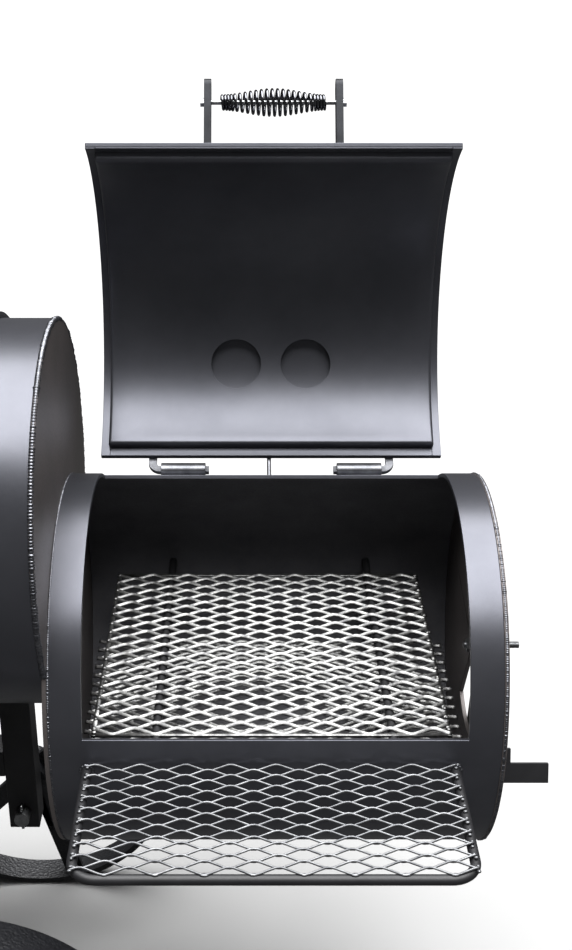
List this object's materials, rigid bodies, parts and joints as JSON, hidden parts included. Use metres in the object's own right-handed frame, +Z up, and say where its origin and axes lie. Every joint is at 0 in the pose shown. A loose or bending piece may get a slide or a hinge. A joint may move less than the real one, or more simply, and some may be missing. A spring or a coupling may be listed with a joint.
{
  "type": "offset smoker",
  "caption": "Offset smoker: pipe cooking chamber with a lower firebox on its right end, its lid shown open, on a square-tube cart with steel wagon wheels.",
  "frame": {"origin": "on the floor, under the middle of the smoker's outline", "axes": "+Z up; +X from the stack towards the firebox; the doors face -Y"},
  "size_m": [1.725, 0.818, 1.761],
  "materials": {
    "pipe_paint": "satin",
    "lid_paint": "satin",
    "liner_paint": "satin",
    "cart_paint": "satin",
    "bright_mesh": "satin",
    "raw_mesh": "satin",
    "dark_steel": "matte",
    "bracket_steel": "satin",
    "plated_hardware": "satin",
    "chrome_spring": "polished",
    "gauge_steel": "satin",
    "gauge_glass": "polished",
    "needle_red": "satin"
  },
  "bodies": {
    "smoker": {"chamber_shell": "pipe_paint", "chamber_end_right": "pipe_paint", "chamber_end_left": "pipe_paint", "chamber_hinge_tubes": "bracket_steel", "chamber_grate_bars": "dark_steel", "cooking_grate_left": "bright_mesh", "cooking_grate_right": "bright_mesh", "heat_baffle": "dark_steel", "drain_pipe": "pipe_paint", "smoke_stack": "pipe_paint", "stack_damper_bolt": "plated_hardware", "firebox_shell": "pipe_paint", "firebox_end_right": "pipe_paint", "firebox_end_left": "pipe_paint", "firebox_hinge_tubes": "bracket_steel", "firebox_grate_bars": "dark_steel", "upper_grate": "bright_mesh", "fire_grate": "bright_mesh", "front_shelf_bar": "cart_paint", "front_shelf_mesh": "raw_mesh", "air_damper_bolt": "plated_hardware", "leg_front_right": "cart_paint", "leg_rear_right": "cart_paint", "leg_front_left": "cart_paint", "leg_rear_left": "cart_paint", "foot_plates": "cart_paint", "side_rails": "cart_paint", "cross_rails": "cart_paint", "lower_shelf_mesh": "raw_mesh", "tow_handle": "cart_paint", "axles": "plated_hardware", "axle_washers": "plated_hardware", "cotter_pins": "plated_hardware"},
    "firebox_lid": {"firebox_lid_skin": "lid_paint", "firebox_lid_strips": "lid_paint", "firebox_lid_liner": "liner_paint", "firebox_lid_hinge_rods": "bracket_steel", "firebox_lid_stop": "bracket_steel", "firebox_handle_brackets": "bracket_steel", "firebox_handle_rod": "plated_hardware"},
    "firebox_grip": {"firebox_handle_spring": "chrome_spring"},
    "chamber_lid": {"chamber_lid_skin": "lid_paint", "chamber_lid_strips": "lid_paint", "chamber_lid_hinge_rods": "bracket_steel", "chamber_lid_stop": "bracket_steel", "chamber_handle_brackets": "bracket_steel", "chamber_handle_rod": "plated_hardware", "thermometer_case": "gauge_steel", "thermometer_glass": "gauge_glass"},
    "chamber_grip": {"chamber_handle_spring": "chrome_spring"},
    "thermometer_needle": {"thermometer_needle": "needle_red"},
    "air_damper": {"air_damper_plate": "dark_steel", "air_damper_handle": "dark_steel"},
    "stack_damper": {"stack_damper_plate": "dark_steel"},
    "wheel_front": {"wheel_front": "cart_paint"},
    "wheel_rear": {"wheel_rear": "cart_paint"}
  },
  "joints": [
    {"name": "firebox_lid_hinge", "type": "hinge", "parent": "smoker", "child": "firebox_lid", "pos_m": [0.475, 0.21512, 0.89614], "axis": [-1, 0, 0], "range_deg": [-114.7, 0]},
    {"name": "chamber_lid_hinge", "type": "hinge", "parent": "smoker", "child": "chamber_lid", "pos_m": [-0.262, 0.21512, 1.12254], "axis": [-1, 0, 0], "range_deg": [0, 114.7]},
    {"name": "firebox_grip_spin", "type": "hinge", "parent": "firebox_lid", "child": "firebox_grip", "pos_m": [0.475, 0.28283, 1.4018], "axis": [1, 0, 0], "continuous": true},
    {"name": "chamber_grip_spin", "type": "hinge", "parent": "chamber_lid", "child": "chamber_grip", "pos_m": [-0.262, -0.27257, 0.97275], "axis": [1, 0, 0], "continuous": true},
    {"name": "thermometer_turn", "type": "hinge", "parent": "chamber_lid", "child": "thermometer_needle", "pos_m": [-0.262, -0.15985, 1.07801], "axis": [0, 0.788, -0.6157], "range_deg": [0, 270]},
    {"name": "air_damper_swing", "type": "hinge", "parent": "smoker", "child": "air_damper", "pos_m": [0.765, 0.047, 0.705], "axis": [1, 0, 0], "range_deg": [-40, 22]},
    {"name": "stack_damper_swing", "type": "hinge", "parent": "smoker", "child": "stack_damper", "pos_m": [-0.809, 0.112, 1.75], "axis": [0, 0, 1], "range_deg": [0, 110]},
    {"name": "wheel_front_roll", "type": "hinge", "parent": "smoker", "child": "wheel_front", "pos_m": [0.0625, -0.273, 0.241], "axis": [0, 1, 0], "continuous": true},
    {"name": "wheel_rear_roll", "type": "hinge", "parent": "smoker", "child": "wheel_rear", "pos_m": [0.0625, 0.367, 0.241], "axis": [0, 1, 0], "continuous": true}
  ]
}
